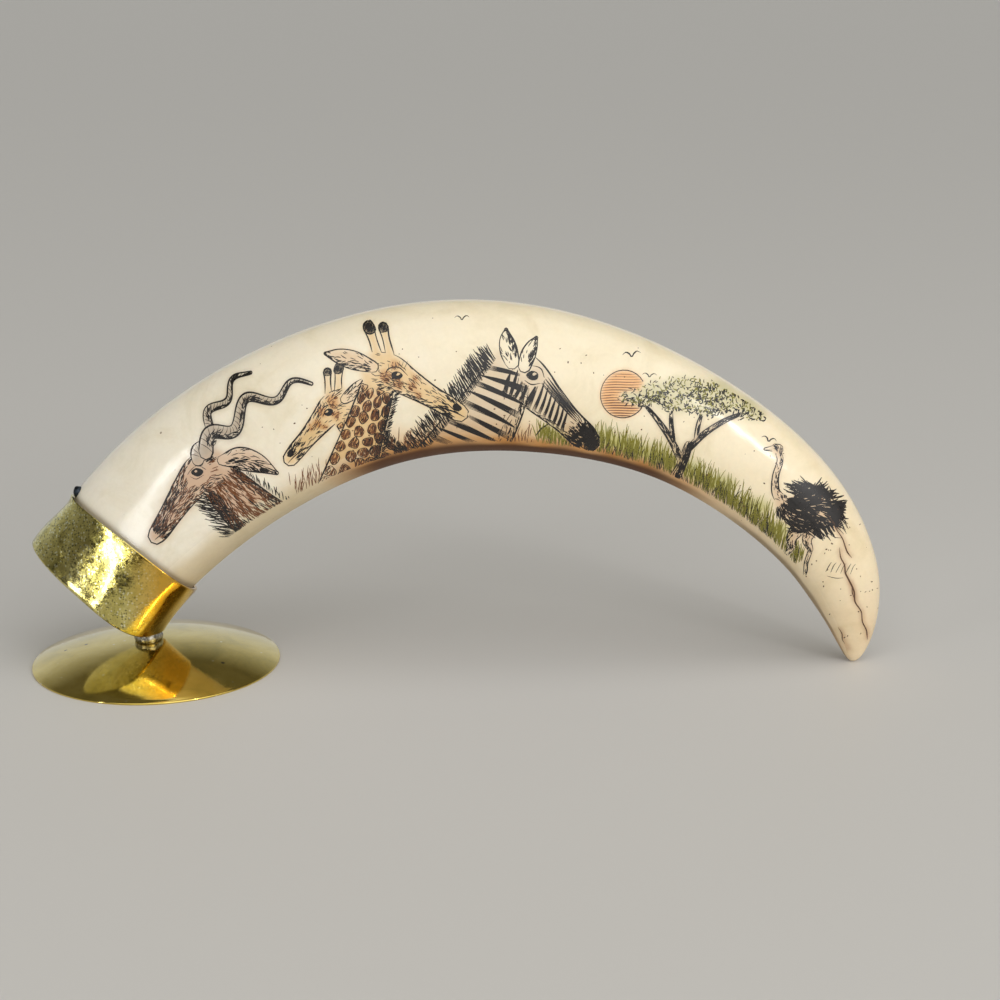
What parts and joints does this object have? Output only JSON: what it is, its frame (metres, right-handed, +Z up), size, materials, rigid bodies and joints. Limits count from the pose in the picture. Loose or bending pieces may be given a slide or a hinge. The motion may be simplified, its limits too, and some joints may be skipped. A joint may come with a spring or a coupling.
{
  "type": "scrimshaw warthog tusk on a brass foot",
  "caption": "Polished curved tusk with an engraved and tinted front, its base in an oval brass ferrule on a shallow domed brass disc. It stands as an arch on the disc and its own tip.",
  "frame": {"origin": "on the floor, under the middle of the bounding box", "axes": "+Z up, +X from the foot towards the tusk's tip, the engraved front faces -Y"},
  "size_m": [0.2132, 0.062, 0.0923],
  "materials": {
    "tusk": null,
    "ferrule_brass": "lacquered, dented and speckled with tarnish",
    "foot_brass": "polished, with fine scratches",
    "solder": "dull grey solder",
    "dark_solder": "dark grey solder"
  },
  "bodies": {
    "root": {"tusk": "tusk", "ferrule": "ferrule_brass", "foot": "foot_brass", "solder_joint": "solder", "lip_bead": "dark_solder"}
  },
  "joints": []
}
